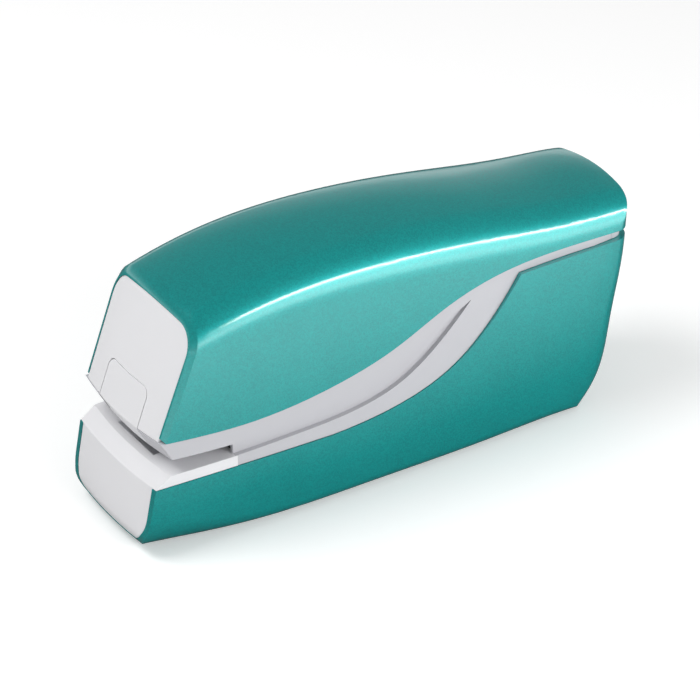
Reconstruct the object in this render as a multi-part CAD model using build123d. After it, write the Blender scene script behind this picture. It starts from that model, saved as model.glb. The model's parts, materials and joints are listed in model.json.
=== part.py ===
from build123d import *
import os
from math import acos, cos, pi, radians, sin, sqrt, tan

# Battery-powered electric stapler.  Millimetres, +X to the right side, front (paper mouth)
# at -Y, +Z up.  The origin lies on the ground under the middle of the stapler.
# Stations are measured backwards from the foremost point of the nose.

# ---- casing ----
LENGTH = 182.5
WIDTH = 52.6
WIDEST_STATION = 98.0
SIDE_RADIUS = 1697.0
FOOT_PROUD = 0.8
CREST_RADIUS = 85.0
SHELL = 2.0
SEAM = 0.15
# station, height of the crest, shoulder radius, radius of the bottom edge
CREST = [
    (-8.0, 66.0, 9.5, 15.0),
    (14.0, 76.8, 10.0, 10.5),
    (33.0, 82.5, 11.0, 6.0),
    (52.0, 85.7, 12.0, 4.0),
    (74.0, 86.7, 13.0, 4.0),
    (100.0, 85.4, 14.0, 4.0),
    (126.0, 82.1, 14.0, 4.0),
    (155.0, 77.6, 12.5, 4.0),
    (190.0, 71.6, 10.0, 4.0),
]
# height, distance from the rear end of the wall's middle at that height
REAR = [(0.0, 18.0), (4.0, 14.6), (10.0, 10.4), (20.0, 7.2), (40.0, 4.0), (60.0, 1.4), (78.0, 0.0), (96.0, 0.0)]
REAR_BULGE = 145.0
REAR_CORNER = 6.5
CAP_FOOT = (5.1, 40.2)
CHIN_FOOT = (8.9, 33.2)
CAP_LEAN = 20.5
CAP_BULGE = 120.0
RIM_CHAMFER = 1.4
NOSE_LOW = 8.0
NOSE_CURL = 13.0
NOSE_LEAN = 11.0
NOSE_BULGE = 170.0

# ---- lines seen from the side: station, height ----
UPPER_EDGE = [(-8, 41.6), (9, 40.2), (36, 38.8), (69, 42.8), (89, 48.8), (108, 57.5), (127, 62.7), (147, 64.1), (192, 62.8)]
RIM_HEIGHT = 24.6
RIM_RISE = [(66, 24.6), (89, 27.3), (110, 34.7), (127, 49.0), (135.5, 60.0)]
REAR_RIM_HEIGHT = 60.0
RECESS_TOP = [(4, 34.4), (32, 32.8), (59, 34.3), (79, 38.3), (97, 46.2), (117, 56.6)]
RECESS_FOOT = [(4, 28.35), (32, 28.35), (54, 29.2), (79, 31.7), (90, 35.1), (103, 43.3), (117, 56.6)]
FRAME_INSET = 0.4
FRAME_INNER = 3.4
RECESS_INSET = 2.0
BAND_INSET = 1.8
TONGUE = 4.0
THROAT_STATION = 32.1
NOSE_SEAM_STATION = 32.8
BAND_SEAM_STATION = 172.4

# ---- mouth, deck and anvil ----
DECK_HEIGHT = 28.35
DECK_FRONT = 8.4
RAMP_FOOT = (2.4, 24.0)
NOSE_REVEAL = 0.25
NOSE_WINDOW = (21.9, 4.0, 4.5)
ANVIL = (22.0, 14.0, 1.2)
ANVIL_PROUD = 0.1
CHIN_THICK = 1.6
CAP_THICK = 2.0
CAP_REVEAL = 0.25
DOOR_WIDTH = 23.0
DOOR_TOP = 52.3
DOOR_CORNER = 3.0
DOOR_GAP = 0.3

# ---- staples and magazine ----
STAPLE_WIDTH = 13.0
STAPLE_LEG = 6.3
STAPLE_WIRE = 0.55
STRIP_LENGTH = 26.0
SHEET = 0.8
SLIDE = 0.2
MAG_FLOOR = 33.3
MAG_FRONT = 13.5
MAG_FLOOR_END = 75.5
MAG_END = 90.0
MAG_HALF = 7.8
MAG_HEIGHT = 7.7
STRIP_START = 19.2
STRIP_LIFT = 0.3
RAIL_GAP = 0.35
RAIL_SHEET = 0.6
RAIL_SLOT = 2.2
BULKHEAD = 1.2
PUSHER_LENGTH = 8.0
PUSHER_TONGUE = 1.6
PUSHER_ROD_R = 0.8
PUSHER_COLLAR_R = 1.7
PUSHER_COLLAR = 4.0
PUSHER_COIL_R = 1.6
PUSHER_TURNS = 12
SPRING_WIRE_R = 0.2

# ---- drive ----
DRIVE_STATION = 18.4
BLADE_THICK = 0.8
BLADE_HALF = 6.4
BLADE_TIP = 41.6
STROKE = 11.5
AXIS_HEIGHT = 62.0
CRANK_STATION = 34.4
CRANK_PIN_R = 2.0
CRANK_SHAFT_R = 2.0
WEB_R = 8.5
WEB = (2.0, 5.0)
YOKE_HALF = 1.5
YOKE_PLAY = 1.4
YOKE_WALL = 2.4
BLOCK_HALF = 7.2
BLOCK_BASE = 56.0
BLOCK_HEIGHT = 7.0
BLOCK_DEPTH = 6.4
ROD_R = 1.0
ROD_X = 4.4
ROD_STATION = 22.6
BAR_R = 1.2
BAR_HEIGHT = 69.5
RETURN_COIL_R = 1.7
RETURN_WIRE_R = 0.25
RETURN_TURNS = 5
MODULE = 0.6
WHEEL_TEETH = 40
PINION_TEETH = 12
PRESSURE_ANGLE = 25.0
BACKLASH = 0.14
GEAR_WIDTH = 2.6
GEAR_STEP = 3.2
GEAR_FIRST_X = 8.6
SHAFT_R = 1.5
FIT = 0.05
PLATE_X = 17.9
PLATE = 1.2
PLATE_STATIONS = (21.4, 92.0)
PLATE_TOP = 71.0
GUIDE_TOP = 42.8
GUIDE_STATIONS = (20.5, 93.0)
GUIDE_RAIL = 1.2
GUIDE_RAIL_FOOT = 36.4
MOTOR_R = 11.0
MOTOR_X = (-14.5, 6.5)
MOTOR_BOSS_R = 3.0
MOTOR_SHAFT_R = 1.0
BRACKET = (6.6, 7.6)
BRACKET_STATIONS = (68.0, 92.0)

# ---- paper trigger and sensor ----
TRIGGER_X = (11.6, 13.6)
TRIGGER_STATION = 31.0
TRIGGER_HEIGHT = 38.0
TRIGGER_PIN_R = 0.9
TRIGGER_BOSS_R = 1.9
TRIGGER_FOOT = 29.1
TRIGGER_STEM = 1.4
VANE_END = 38.0
PIN_LUG = 1.0
SENSOR_STATIONS = (35.5, 41.5)
SENSOR_WALL = 1.6
SENSOR_FOOT = 35.6

# ---- electronics ----
SHELF = (62.0, 63.2)
SHELF_STATIONS = (100.0, 152.0)
BOARD_HALF = 16.0
BOARD_STATIONS = (104.0, 150.0)
BOARD_THICK = 1.6
BOARD_POST = 2.4
BOARD_POST_R = 2.0
CAPACITOR_R = 3.2
CAPACITOR_HEIGHT = 5.5
CHIP = (8.0, 10.0, 1.6)
SOCKET = (10.0, 4.0, 4.5)
WIRE_R = 0.6

# ---- battery bay, underside ----
CELL_R = 7.25
CELL_LENGTH = 50.5
CELL_NUB_R = 2.75
CELL_GAP = 0.5
CELL_REST = 0.4
BAY_WALL = 1.2
BAY_CLEAR = 0.35
BAY_START = 49.8
CONTACT = 0.4
CONTACT_HALF = 5.5
CONTACT_SPRING = 4.6
CONTACT_COIL_R = 3.2
CONTACT_WIRE_R = 0.3
CONTACT_TURNS = 3.5
BOX_TOP_GAP = 0.4
LATCH = (5.0, 1.2, 1.6)
DOOR_THICK = 1.8
CLEAR = 0.3
HINGE_STATION = 44.0
BARREL_R = 2.8
HINGE_PIN_R = 1.0
LUG = 2.0
SCREWS = [(44.0, 16.0), (125.0, 38.0)]
SCREW_X = 19.4
POST_R = 3.0
SCREW_HEAD_R = 2.1
SCREW_HEAD = 1.6
SCREW_R = 1.1
SCREW_WEB = 2.0
SCREW_GRIP = 9.0
FOOT = (4.0, 16.0, 1.6)
FEET = [(13.5, 28.0), (18.2, 142.0)]

FRONT = -LENGTH / 2
BOTTOM = FOOT_PROUD
CRANK_R = STROKE / 2
CORE_INSET = FRAME_INNER + SEAM
CORE_THICK = 1.5
GEAR_CENTRE = MODULE * (WHEEL_TEETH + PINION_TEETH) / 2
MIDDLE_STATION = CRANK_STATION + GEAR_CENTRE
FIRST_STATION = MIDDLE_STATION + GEAR_CENTRE
MOTOR_STATION = FIRST_STATION + GEAR_CENTRE
CELL_X = CELL_R + CELL_GAP / 2
BAY_HALF = CELL_X + CELL_R + BAY_CLEAR
BAY_END = BAY_START + 2 * (CELL_LENGTH + CONTACT) + CELL_GAP + CONTACT_SPRING + 0.4
CELL_AXIS = BOTTOM + DOOR_THICK + CELL_REST + CELL_R
DOOR_END = BAY_END - CLEAR
HINGE_HEIGHT = BOTTOM + BARREL_R
MAG_TOP = MAG_FLOOR + MAG_HEIGHT
STAPLE_FOOT = MAG_FLOOR + SHEET + STRIP_LIFT
STAPLE_TOP = STAPLE_FOOT + STAPLE_LEG
RAIL_HALF = STAPLE_WIDTH / 2 - STAPLE_WIRE - RAIL_GAP
RAIL_TOP = STAPLE_TOP - STAPLE_WIRE - RAIL_GAP
RAIL_MIDDLE = (MAG_FLOOR + SHEET + RAIL_TOP - RAIL_SHEET) / 2
PUSHER_START = STRIP_START + STRIP_LENGTH + 0.4
COLLAR_START = PUSHER_START + (PUSHER_LENGTH - PUSHER_COLLAR) / 2
GUIDE_FACE = GUIDE_TOP + PLATE
PIN_HEIGHT = AXIS_HEIGHT + CRANK_R
BLOCK_BACK = DRIVE_STATION + BLADE_THICK / 2 + BLOCK_DEPTH
BOARD_FACE = SHELF[1] + BOARD_POST + BOARD_THICK
FAR = 60.0


def y_at(station):
    return FRONT + station


def half_width(station):
    sag = SIDE_RADIUS - sqrt(SIDE_RADIUS**2 - (station - WIDEST_STATION) ** 2)
    return WIDTH / 2 - sag


def box(x, stations, z):
    """Box from (low, high) pairs in X, station and Z."""
    size = (x[1] - x[0], stations[1] - stations[0], z[1] - z[0])
    middle = (sum(x) / 2, y_at(sum(stations) / 2), sum(z) / 2)
    return Pos(*middle) * Box(*size)


def rod(radius, x, station, z):
    """Cylinder along X from x[0] to x[1]."""
    return Pos(sum(x) / 2, y_at(station), z) * Rot(0, 90, 0) * Cylinder(radius, x[1] - x[0])


def post(radius, x, station, z):
    """Upright cylinder from z[0] to z[1]."""
    return Pos(x, y_at(station), sum(z) / 2) * Cylinder(radius, z[1] - z[0])


def long_rod(radius, stations, x, z):
    """Cylinder along Y."""
    middle = (x, y_at(sum(stations) / 2), z)
    return Pos(*middle) * Rot(90, 0, 0) * Cylinder(radius, stations[1] - stations[0])


def save(name, shape, colour):
    shape.color = Color(*colour)
    shape.label = name
    export_step(shape, "parts/" + name + ".step")


# ---- casing forms ----
def section(station, crest, shoulder, bottom_edge, inset):
    """Cross-section of the casing at one station, drawn in by inset."""
    y = y_at(station)
    w = half_width(station) - inset
    top = crest - inset
    low = BOTTOM + inset
    r = max(shoulder - inset, 1.0)
    edge = max(bottom_edge - inset, 0.5)
    crown = CREST_RADIUS - inset
    crown_z = top - crown
    r_x = w - r
    r_z = crown_z + sqrt((crown - r) ** 2 - r_x**2)
    joint_x = r_x * crown / (crown - r)
    joint_z = crown_z + (r_z - crown_z) * crown / (crown - r)
    bisect_x = r + joint_x - r_x
    bisect_z = joint_z - r_z
    bisect = sqrt(bisect_x**2 + bisect_z**2)
    mid_x = r_x + r * bisect_x / bisect
    mid_z = r_z + r * bisect_z / bisect
    turn = edge * (1 - sin(radians(45)))
    edges = [
        Line((edge - w, y, low), (w - edge, y, low)),
        ThreePointArc((w - edge, y, low), (w - turn, y, low + turn), (w, y, low + edge)),
        Line((w, y, low + edge), (w, y, r_z)),
        ThreePointArc((w, y, r_z), (mid_x, y, mid_z), (joint_x, y, joint_z)),
        ThreePointArc((joint_x, y, joint_z), (0, y, top), (-joint_x, y, joint_z)),
        ThreePointArc((-joint_x, y, joint_z), (-mid_x, y, mid_z), (-w, y, r_z)),
        Line((-w, y, r_z), (-w, y, low + edge)),
        ThreePointArc((-w, y, low + edge), (turn - w, y, low + turn), (edge - w, y, low)),
    ]
    return Face(Wire(edges))


def rear_block(inset):
    """Everything in front of the rear wall."""
    outlines = []
    for height, gap in REAR:
        back = y_at(LENGTH - gap - inset)
        w = half_width(LENGTH) - inset
        bulge = w**2 / (2 * REAR_BULGE)
        front = back - LENGTH - FAR
        front_w = w + 0.1 * (LENGTH + FAR)
        with BuildSketch(Plane.XY.offset(height + (inset if gap > 15 else 0))) as sketch:
            with BuildLine():
                Polyline((w, back - bulge), (front_w, front), (-front_w, front), (-w, back - bulge))
                ThreePointArc((-w, back - bulge), (0, back), (w, back - bulge))
            make_face()
            corners = sketch.vertices().filter_by(lambda v: v.Y > back - 2 * bulge)
            fillet(corners, max(REAR_CORNER - inset, 1.0))
        outlines.append(sketch.sketch.face())
    return loft(outlines)


def casing(inset):
    """The whole rounded body up to the rear wall, open-ended in front; inset may follow the station."""
    depth = inset if callable(inset) else lambda station: inset
    body = loft([section(s, *form, depth(s)) for s, *form in CREST])
    return body & rear_block(depth(LENGTH))


def bulged(outline, radius, station):
    """Turn a side-view face about an upright axis a bulge radius behind its foremost station."""
    axis = Axis((0, y_at(station + radius), 0), (0, 0, 1))
    return revolve(outline.rotate(axis, -20), axis, 40)


def side_face(*edges):
    with BuildSketch(Plane.YZ) as sketch:
        with BuildLine():
            for points in edges:
                if len(points) > 2:
                    Spline(*[(y_at(s), z) for s, z in points])
                else:
                    Line(*[(y_at(s), z) for s, z in points])
        make_face()
    return sketch.sketch


def head_cutter(inset):
    """What lies in front of the head: leaning cap face above, slanted chin below."""
    top = 120.0
    lean = tan(radians(CAP_LEAN))
    cap = (CAP_FOOT[0] + inset / cos(radians(CAP_LEAN)), CAP_FOOT[1])
    chin = (CHIN_FOOT[0] + inset, CHIN_FOOT[1])
    high = (cap[0] + (top - cap[1]) * lean, top)
    low = (chin[0] + (chin[0] - cap[0]) * chin[1] / (cap[1] - chin[1]), 0.0)
    corners = [low, cap, high, (-FAR, top), (-FAR, 0.0), low]
    face = side_face(*[corners[i : i + 2] for i in range(5)])
    return bulged(face, CAP_BULGE, CAP_FOOT[0])


def nose_cutter(inset):
    """What lies in front of and under the nose."""
    top = 120.0
    high = (y_at(inset + (top - NOSE_LOW) * tan(radians(NOSE_LEAN))), top)
    front = (y_at(inset), NOSE_LOW)
    foot = (y_at(NOSE_CURL), BOTTOM + inset)
    with BuildSketch(Plane.YZ) as sketch:
        with BuildLine():
            Line(high, front)
            Spline(front, foot, tangents=((0, -1), (1, 0)))
            Polyline(foot, (foot[0], -FAR), (y_at(-FAR), -FAR), (y_at(-FAR), top), high)
        make_face()
    return bulged(sketch.sketch, NOSE_BULGE, 0.0)


def across(face):
    """Side-view face stretched right through the stapler."""
    return extrude(face, FAR / 2, both=True)


def shifted(points, shift):
    return [(s, z + shift) for s, z in points]


def above(points, shift):
    """Everything above a side-view curve that is moved by shift."""
    line = shifted(points, shift)
    first, last = line[0], line[-1]
    top = 130.0
    return across(side_face(line, [last, (last[0], top)], [(last[0], top), (first[0], top)], [(first[0], top), first]))


def rim_line(shift):
    rise = shifted(RIM_RISE, shift)
    flat = (-FAR, RIM_HEIGHT + shift)
    corner = (rise[-1][0], REAR_RIM_HEIGHT + shift)
    end = (LENGTH + FAR, REAR_RIM_HEIGHT + shift)
    return flat, rise, corner, end


def below_rim(shift):
    """Everything below the lower shell's top edge, moved by shift."""
    flat, rise, corner, end = rim_line(shift)
    floor = -FAR
    sides = [[end, (end[0], floor)], [(end[0], floor), (flat[0], floor)], [(flat[0], floor), flat]]
    return across(side_face([flat, rise[0]], rise, [corner, end], *sides))


def recess():
    """The long hollow between the two arms of the side frame, open to the front."""
    return across(side_face(RECESS_TOP, RECESS_FOOT, [RECESS_FOOT[0], RECESS_TOP[0]]))


TEAL = (0.10, 0.62, 0.60)
WHITE = (0.90, 0.90, 0.91)
GREY = (0.74, 0.74, 0.77)
STEEL = (0.62, 0.63, 0.65)
BLACK = (0.06, 0.06, 0.07)


def mirrored(shape):
    return mirror(shape, Plane.YZ)


def both_sides(shape):
    return Compound(children=[solid for half in (shape, mirrored(shape)) for solid in half.solids()])


def nose_window(shrink):
    """Opening in the front wall of the lower shell, with rounded lower corners."""
    half, sill, corner = NOSE_WINDOW
    prism = box((shrink - half, half - shrink), (-FAR, NOSE_CURL - shrink), (sill + shrink, FAR))
    lower = prism.edges().filter_by(Axis.Y).group_by(Axis.Z)[0]
    return fillet(lower, corner - shrink)


def lower_shell(outer, hollow):
    inner = hollow - nose_cutter(SHELL)
    body = ((outer - nose_cutter(0)) - inner) & below_rim(0)
    body = body - (casing(SHELL - 0.1) & nose_window(0))
    for station, top in SCREWS:
        column = post(POST_R, SCREW_X, station, (BOTTOM + 1, top)) & outer
        bore = post(SCREW_HEAD_R + FIT, SCREW_X, station, (-1, top - SCREW_WEB))
        bore = bore + post(SCREW_R + FIT, SCREW_X, station, (0, top + 1))
        body = body + column + mirrored(column) - bore - mirrored(bore)
    opening = box((-BAY_HALF, BAY_HALF), (HINGE_STATION - BARREL_R - CLEAR, BAY_END), (-1, BOTTOM + SHELL + 1))
    lug = box((BAY_HALF, BAY_HALF + LUG), (HINGE_STATION - 3, HINGE_STATION + 3), (BOTTOM + 1, HINGE_HEIGHT + 3))
    body = body - opening + lug + mirrored(lug)
    reach = BAY_HALF + LUG - 0.4
    body = body - rod(HINGE_PIN_R + FIT, (-reach, reach), HINGE_STATION, HINGE_HEIGHT)
    for foot in feet():
        body = body - foot
    return body


def feet():
    width, length, height = FOOT
    pads = []
    for x, station in FEET:
        pad = Pos(x, y_at(station), height / 2) * Box(width, length, height)
        pad = fillet(pad.edges().filter_by(Axis.Z), 0.45 * width)
        pads += [pad, mirrored(pad)]
    return pads


def case_screws():
    screws = []
    for station, top in SCREWS:
        seat = top - SCREW_WEB
        head = post(SCREW_HEAD_R, SCREW_X, station, (seat - SCREW_HEAD, seat))
        head = head - box((SCREW_X - 0.3, SCREW_X + 0.3), (station - 1.6, station + 1.6), (seat - 3, seat - 1))
        head = head - box((SCREW_X - 1.6, SCREW_X + 1.6), (station - 0.3, station + 0.3), (seat - 3, seat - 1))
        screw = head + post(SCREW_R, SCREW_X, station, (seat, seat + SCREW_GRIP))
        screws += [screw.solid(), mirrored(screw).solid()]
    return Compound(children=screws)


def nose_block(outer):
    """Front face, ramp and deck in one hollow block that fills the front of the lower shell."""
    front = nose_cutter(NOSE_REVEAL)
    before_seam = box((-FAR, FAR), (-FAR, NOSE_SEAM_STATION), (-FAR, DECK_HEIGHT))
    behind_wall = nose_cutter(SHELL + SEAM) - nose_window(SEAM)
    in_shell = (casing(SHELL + SEAM) & below_rim(SEAM)) - behind_wall
    over_shell = casing(NOSE_REVEAL) - below_rim(SEAM)
    block = ((in_shell + over_shell) & before_seam) - front
    ramp = [RAMP_FOOT, (DECK_FRONT, DECK_HEIGHT), (DECK_FRONT, FAR), (-FAR, FAR), (-FAR, RAMP_FOOT[1]), RAMP_FOOT]
    block = block - bulged(side_face(*[ramp[i : i + 2] for i in range(5)]), NOSE_BULGE, 0.0)
    wall = SHELL + SEAM + 1.6
    room = (casing(wall) - nose_cutter(wall)) & box((-FAR, FAR), (-FAR, LENGTH), (-FAR, DECK_HEIGHT - SHELL))
    pocket = anvil_blank(0.0)
    return block - room - pocket


def anvil_blank(proud):
    length, depth, thick = ANVIL
    stations = (DRIVE_STATION - depth / 2, DRIVE_STATION + depth / 2)
    return box((-length / 2, length / 2), stations, (DECK_HEIGHT + ANVIL_PROUD - thick, DECK_HEIGHT + ANVIL_PROUD))


def anvil_plate():
    """Clinching plate with two shallow troughs that curl the staple's legs inwards."""
    plate = anvil_blank(ANVIL_PROUD)
    trough_r = 4.0
    top = DECK_HEIGHT + ANVIL_PROUD
    for side in (-1, 1):
        x = side * STAPLE_WIDTH / 4 + side * 0.6
        disc = Pos(x, y_at(DRIVE_STATION), top + trough_r - 0.5) * Rot(90, 0, 0) * Cylinder(trough_r, 1.6)
        plate = plate - disc
    return plate


def front_slab():
    return head_cutter(CAP_REVEAL + CAP_THICK) - head_cutter(CAP_REVEAL)


def door_prism(grow):
    half = DOOR_WIDTH / 2 + grow
    prism = Pos(0, 0, (DOOR_TOP + grow) / 2) * Box(2 * half, 3 * LENGTH, DOOR_TOP + grow)
    upright = prism.edges().filter_by(Axis.Y).group_by(Axis.Z)[-1]
    return fillet(upright, DOOR_CORNER + grow)


def front_cap(seat):
    above_chin = box((-FAR, FAR), (-FAR, LENGTH), (CAP_FOOT[1] + SEAM, 130))
    return (seat & front_slab() & above_chin) - door_prism(DOOR_GAP)


def magazine_door():
    neck = box((-MAG_HALF, MAG_HALF), (CAP_FOOT[0], MAG_FRONT), (MAG_FLOOR, MAG_TOP)) - head_cutter(CAP_REVEAL)
    plate = front_slab() & door_prism(0) & box((-FAR, FAR), (-FAR, LENGTH), (MAG_FLOOR, 130))
    plate = plate & box((-FAR, FAR), (0, MAG_FRONT + 5), (0, 130))
    return plate + neck


def frames(seat, frame_inner):
    """Light grey fork between the shells with its chin, and the narrow band behind it."""

    def frame_depth(station):
        share = min(max((station - 100.0) / 60.0, 0.0), 1.0)
        return FRAME_INSET + (BAND_INSET - FRAME_INSET) * share

    frame = (casing(frame_depth) - frame_inner) - above(UPPER_EDGE, -SEAM) - below_rim(SEAM)
    tongue = (seat - frame_inner) - above(UPPER_EDGE, TONGUE) - below_rim(-TONGUE)
    frame = frame + tongue - (recess() - casing(RECESS_INSET))
    mouth = box((-FAR, FAR), (-FAR, NOSE_SEAM_STATION + SEAM), (-FAR, DECK_HEIGHT))
    before_throat = box((-FAR, FAR), (-FAR, THROAT_STATION), (-FAR, 130))
    frame = frame - mouth - (before_throat - above(RECESS_TOP, 0))
    chin = (casing(FRAME_INNER - 0.5) & above(RECESS_TOP, 0) & before_throat) - above(UPPER_EDGE, 0)
    slot = box((-MAG_HALF - SLIDE, MAG_HALF + SLIDE), (-FAR, LENGTH), (-FAR, 130))
    low, high = TRIGGER_X
    trigger_slot = box((low - CLEAR, high + CLEAR), (TRIGGER_STATION - 3, LENGTH), (-FAR, 130))
    floor = chin - above(RECESS_TOP, CHIN_THICK) - slot - trigger_slot
    lip = (chin & head_cutter(CAP_THICK)) - door_prism(DOOR_GAP)
    frame = (frame + floor + lip) - head_cutter(0)
    behind_cap = head_cutter(CAP_REVEAL + CAP_THICK + SEAM)
    over_chin = box((-FAR, FAR), (-FAR, LENGTH), (CAP_FOOT[1], 130))
    frame = frame - (behind_cap & seat & over_chin) - (behind_cap & door_prism(DOOR_GAP))
    band = frame & box((-FAR, FAR), (BAND_SEAM_STATION + SEAM, LENGTH + FAR), (-FAR, 130))
    right = frame & box((0, FAR), (-FAR, BAND_SEAM_STATION), (-FAR, 130))
    left = frame & box((-FAR, 0), (-FAR, BAND_SEAM_STATION), (-FAR, 130))
    return right, left, band


def core_frame():
    """Inner skeleton: side walls, wall behind the mouth, ledges, shelf and screw bosses."""
    room = casing(CORE_INSET)
    lined = casing(CORE_INSET + CORE_THICK)
    stations = (THROAT_STATION + 2, 165)
    walls = (room - lined) - above(UPPER_EDGE, 6) - below_rim(-6)
    walls = walls & box((-FAR, FAR), stations, (-FAR, 130))
    walls = walls - box((-PLATE_X, PLATE_X), (-FAR, LENGTH + FAR), (-FAR, 130))
    throat = box((-FAR, FAR), (stations[0], stations[0] + CORE_THICK), (DECK_HEIGHT - 4, MAG_FLOOR - CLEAR))
    shelf = box((-FAR, FAR), SHELF_STATIONS, SHELF)
    ledge = box((PLATE_X - 3, FAR), (56, PLATE_STATIONS[1]), (GUIDE_TOP - 2, GUIDE_TOP))
    core = walls + (room & (throat + shelf + ledge + mirrored(ledge)))
    for x in (-BOARD_HALF + 3, BOARD_HALF - 3):
        for station in (BOARD_STATIONS[0] + 3, BOARD_STATIONS[1] - 3):
            core = core + post(BOARD_POST_R, x, station, (SHELF[1], SHELF[1] + BOARD_POST))
    for station, top in SCREWS:
        boss = post(POST_R, SCREW_X, station, (top, top + SCREW_GRIP + 1)) & room
        bore = post(SCREW_R + FIT, SCREW_X, station, (top - 1, top + SCREW_GRIP))
        core = core + boss + mirrored(boss) - bore - mirrored(bore)
    return core


def magazine_guide():
    """Plate that carries the drive, the magazine's rails, the trigger's lugs and the sensor."""
    half = PLATE_X + PLATE
    plate = box((-half, half), GUIDE_STATIONS, (GUIDE_TOP, GUIDE_FACE))
    inside = MAG_HALF + SLIDE
    rail = box((inside, inside + GUIDE_RAIL), GUIDE_STATIONS, (GUIDE_RAIL_FOOT, GUIDE_TOP))
    guide = plate + rail + mirrored(rail)
    low, high = TRIGGER_X
    stations = (TRIGGER_STATION - TRIGGER_BOSS_R, TRIGGER_STATION + TRIGGER_BOSS_R)
    heights = (TRIGGER_HEIGHT - TRIGGER_BOSS_R, GUIDE_TOP)
    for x in (low - CLEAR - PIN_LUG, high + CLEAR):
        guide = guide + box((x, x + PIN_LUG), stations, heights)
    reach = (low - CLEAR - PIN_LUG, high + CLEAR + PIN_LUG)
    return guide - rod(TRIGGER_PIN_R + FIT, reach, TRIGGER_STATION, TRIGGER_HEIGHT)


def paper_trigger():
    """Hanging flag: the foot stands in the mouth, the vane points backwards into the sensor."""
    boss = rod(TRIGGER_BOSS_R, TRIGGER_X, TRIGGER_STATION, TRIGGER_HEIGHT)
    stem_stations = (TRIGGER_STATION - TRIGGER_STEM / 2, TRIGGER_STATION + TRIGGER_STEM / 2)
    stem = box(TRIGGER_X, stem_stations, (TRIGGER_FOOT, TRIGGER_HEIGHT))
    vane = box(TRIGGER_X, (TRIGGER_STATION, VANE_END), (TRIGGER_HEIGHT - 0.8, TRIGGER_HEIGHT + 0.8))
    reach = (TRIGGER_X[0] - CLEAR - PIN_LUG, TRIGGER_X[1] + CLEAR + PIN_LUG)
    return boss + stem + vane + rod(TRIGGER_PIN_R, reach, TRIGGER_STATION, TRIGGER_HEIGHT)


def paper_sensor():
    low, high = TRIGGER_X
    slot = (low - CLEAR, high + CLEAR)
    block = box((slot[0] - SENSOR_WALL, slot[1] + SENSOR_WALL), SENSOR_STATIONS, (SENSOR_FOOT, GUIDE_TOP))
    return block - box(slot, (0, SENSOR_STATIONS[1] - 1), (0, GUIDE_TOP - 1.2))


def inverted_u(half, sheet, stations, z):
    return box((-half, half), stations, z) - box((sheet - half, half - sheet), stations, (z[0] - 1, z[1] - sheet))


def staple_strip():
    """A glued strip of staples, grooved between every wire and the next."""
    end = STRIP_START + STRIP_LENGTH
    strip = inverted_u(STAPLE_WIDTH / 2, STAPLE_WIRE, (STRIP_START, end), (STAPLE_FOOT, STAPLE_TOP))
    return strip


def magazine_channel():
    floor = box((-MAG_HALF, MAG_HALF), (MAG_FRONT, MAG_FLOOR_END), (MAG_FLOOR, MAG_FLOOR + SHEET))
    wall = box((MAG_HALF - SHEET, MAG_HALF), (MAG_FRONT, MAG_END), (MAG_FLOOR, MAG_TOP))
    inside = MAG_HALF - SHEET
    bulkhead = box((-inside, inside), (MAG_FLOOR_END - BULKHEAD, MAG_FLOOR_END), (MAG_FLOOR, RAIL_TOP))
    exit_slot = box((-BLADE_HALF - CLEAR, BLADE_HALF + CLEAR), (DRIVE_STATION - 1, DRIVE_STATION + 1), (0, 60))
    channel = floor + wall + mirrored(wall) + bulkhead - exit_slot
    return channel - long_rod(PUSHER_ROD_R, (MAG_FLOOR_END - 5, MAG_FLOOR_END + 5), 0, RAIL_MIDDLE)


def staple_rail():
    """Sheet rail the staples ride on, slotted along its top for the pusher."""
    stations = (STRIP_START, MAG_FLOOR_END - BULKHEAD)
    heights = (MAG_FLOOR + SHEET, RAIL_TOP)
    rail = inverted_u(RAIL_HALF, RAIL_SHEET, stations, heights)
    front = box((-RAIL_HALF, RAIL_HALF), (STRIP_START, STRIP_START + BULKHEAD), heights)
    slot_stations = (STRIP_START + BULKHEAD, stations[1] - BULKHEAD)
    slot = box((-RAIL_SLOT / 2, RAIL_SLOT / 2), slot_stations, (RAIL_MIDDLE, 60))
    return rail + front - slot - long_rod(PUSHER_ROD_R, (STRIP_START - 5, STRIP_START + 5), 0, RAIL_MIDDLE)


def pusher_rod():
    return long_rod(PUSHER_ROD_R, (STRIP_START, MAG_FLOOR_END), 0, RAIL_MIDDLE)


def pusher():
    """Saddle over the rail with a tongue and a collar that rides on the rod."""
    end = PUSHER_START + PUSHER_LENGTH
    saddle = inverted_u(STAPLE_WIDTH / 2, STAPLE_WIRE, (PUSHER_START, end), (STAPLE_FOOT, STAPLE_TOP))
    stations = (COLLAR_START, COLLAR_START + PUSHER_COLLAR)
    tongue = box((-PUSHER_TONGUE / 2, PUSHER_TONGUE / 2), stations, (RAIL_MIDDLE, STAPLE_TOP - 0.1))
    collar = long_rod(PUSHER_COLLAR_R, stations, 0, RAIL_MIDDLE)
    return saddle + tongue + collar - long_rod(PUSHER_ROD_R + FIT, (0, LENGTH), 0, RAIL_MIDDLE)


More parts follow.
